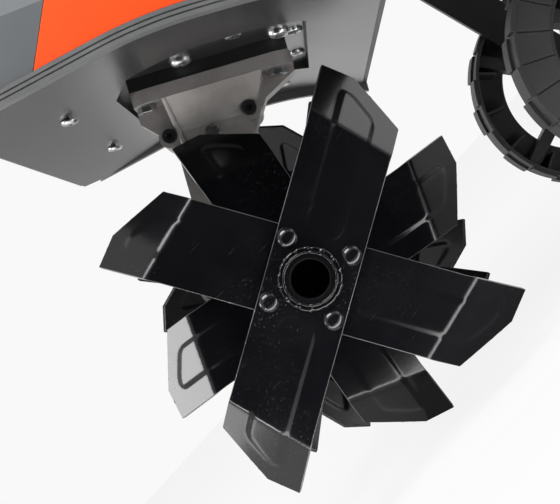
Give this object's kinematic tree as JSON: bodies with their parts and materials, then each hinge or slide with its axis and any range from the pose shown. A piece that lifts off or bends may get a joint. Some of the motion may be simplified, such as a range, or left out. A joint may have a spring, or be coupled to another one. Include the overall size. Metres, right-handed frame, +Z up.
{
  "type": "cordless garden tiller",
  "caption": "Battery garden tiller: bent blade discs under an arched steel guard, worm gearbox, plastic hood, transport wheels and a folding loop handle.",
  "frame": {"origin": "on the ground below the middle of the box around the whole machine, parked on its tines and wheels", "axes": "+X to the rear, towards the handlebar; +Y to the right side of the machine seen from behind; +Z up"},
  "size_m": [1.0838, 0.3572, 0.5779],
  "materials": {
    "black_plastic": "fine grain",
    "blade_paint": "gloss black",
    "bronze": "machined",
    "button_plastic": "gloss",
    "case_alloy": "die cast",
    "foam": "foam",
    "frame_paint": "satin black",
    "gear_steel": "ground",
    "guard_paint": "satin charcoal",
    "hood_plastic": "gloss orange",
    "motor_steel": "satin",
    "panel_plastic": "satin slate",
    "rim_plastic": "fine grain",
    "seal_rubber": "matt",
    "zinc_steel": "zinc plated"
  },
  "bodies": {
    "frame": {"gearbox_left": "case_alloy", "gearbox_right": "case_alloy", "gearbox_screws": "frame_paint", "flange_spacer": "frame_paint", "flange_bolts": "zinc_steel", "grease_plug": "zinc_steel", "tine_bearings": "zinc_steel", "shaft_seals": "seal_rubber", "worm_bearings": "zinc_steel", "motor_can": "motor_steel", "guard_plate": "guard_paint", "guard_screws": "zinc_steel", "hood_base": "rim_plastic", "hood": "hood_plastic", "front_panel": "panel_plastic", "control_box": "black_plastic", "battery_bay": "black_plastic", "rear_frame": "frame_paint", "frame_screws": "zinc_steel", "left_wheel_arm": "frame_paint", "right_wheel_arm": "frame_paint", "arm_bolts": "zinc_steel", "wheel_axle": "zinc_steel", "axle_caps": "black_plastic", "left_lower_tube": "frame_paint", "right_lower_tube": "frame_paint", "fold_bolts": "zinc_steel"},
    "tine_rotor": {"left_outer_blade_front": "blade_paint", "left_outer_blade_back": "blade_paint", "left_inner_blade_front": "blade_paint", "left_inner_blade_back": "blade_paint", "right_outer_blade_front": "blade_paint", "right_outer_blade_back": "blade_paint", "right_inner_blade_front": "blade_paint", "right_inner_blade_back": "blade_paint", "left_hub": "blade_paint", "right_hub": "blade_paint", "left_rivets": "blade_paint", "right_rivets": "blade_paint", "hub_pins": "zinc_steel", "pin_clips": "zinc_steel", "tine_shaft": "gear_steel", "worm_wheel": "bronze"},
    "drive_spindle": {"worm": "gear_steel", "worm_shaft": "gear_steel", "shaft_coupling": "motor_steel", "motor_rotor": "motor_steel", "cooling_fan": "black_plastic"},
    "left_wheel": {"left_wheel": "black_plastic"},
    "right_wheel": {"right_wheel": "black_plastic"},
    "upper_handle": {"upper_handle": "frame_paint", "left_grip": "foam", "right_grip": "foam", "switch_box": "black_plastic"},
    "left_fold_knob": {"left_fold_knob": "black_plastic"},
    "right_fold_knob": {"right_fold_knob": "black_plastic"},
    "trigger": {"trigger_bar": "button_plastic"},
    "lock_button": {"lock_button": "button_plastic"},
    "battery": {"battery_pack": "black_plastic"},
    "battery_latch": {"battery_latch": "button_plastic"}
  },
  "joints": [
    {"name": "tine_spin", "type": "hinge", "parent": "frame", "child": "tine_rotor", "pos_m": [-0.43186, 0, 0.11], "axis": [0, 1, 0], "continuous": true},
    {"name": "worm_spin", "type": "hinge", "parent": "frame", "child": "drive_spindle", "pos_m": [-0.4599, 0, 0.1274], "axis": [0.5272, 0, 0.8497], "continuous": true},
    {"name": "left_wheel_spin", "type": "hinge", "parent": "frame", "child": "left_wheel", "pos_m": [-0.2166, 0, 0.07], "axis": [0, 1, 0], "continuous": true},
    {"name": "right_wheel_spin", "type": "hinge", "parent": "frame", "child": "right_wheel", "pos_m": [-0.2166, 0, 0.07], "axis": [0, 1, 0], "continuous": true},
    {"name": "handle_fold", "type": "hinge", "parent": "frame", "child": "upper_handle", "pos_m": [0.12502, 0, 0.37394], "axis": [0, -1, 0], "range_deg": [0, 150]},
    {"name": "left_knob_turn", "type": "hinge", "parent": "frame", "child": "left_fold_knob", "pos_m": [0.12502, 0, 0.37394], "axis": [0, 1, 0], "continuous": true},
    {"name": "right_knob_turn", "type": "hinge", "parent": "frame", "child": "right_fold_knob", "pos_m": [0.12502, 0, 0.37394], "axis": [0, 1, 0], "continuous": true},
    {"name": "trigger_squeeze", "type": "hinge", "parent": "upper_handle", "child": "trigger", "pos_m": [0.49521, 0, 0.55727], "axis": [0, -1, 0], "range_deg": [0, 12], "stiffness_Nm_per_rad": 1.5, "springref_deg": -8.59},
    {"name": "lock_press", "type": "slide", "parent": "upper_handle", "child": "lock_button", "axis": [-0.926, 0, -0.3776], "range_m": [0, 0.004], "stiffness_N_per_m": 300, "springref_m": -0.002},
    {"name": "battery_slide", "type": "slide", "parent": "frame", "child": "battery", "axis": [0.5272, 0, 0.8497], "range_m": [0, 0.09]},
    {"name": "battery_latch_press", "type": "slide", "parent": "battery", "child": "battery_latch", "axis": [-0.5272, 0, -0.8497], "range_m": [0, 0.003], "stiffness_N_per_m": 400, "springref_m": -0.002}
  ],
  "couplings": [
    {"joint": "worm_spin", "follows": "tine_spin", "ratio": -30}
  ]
}
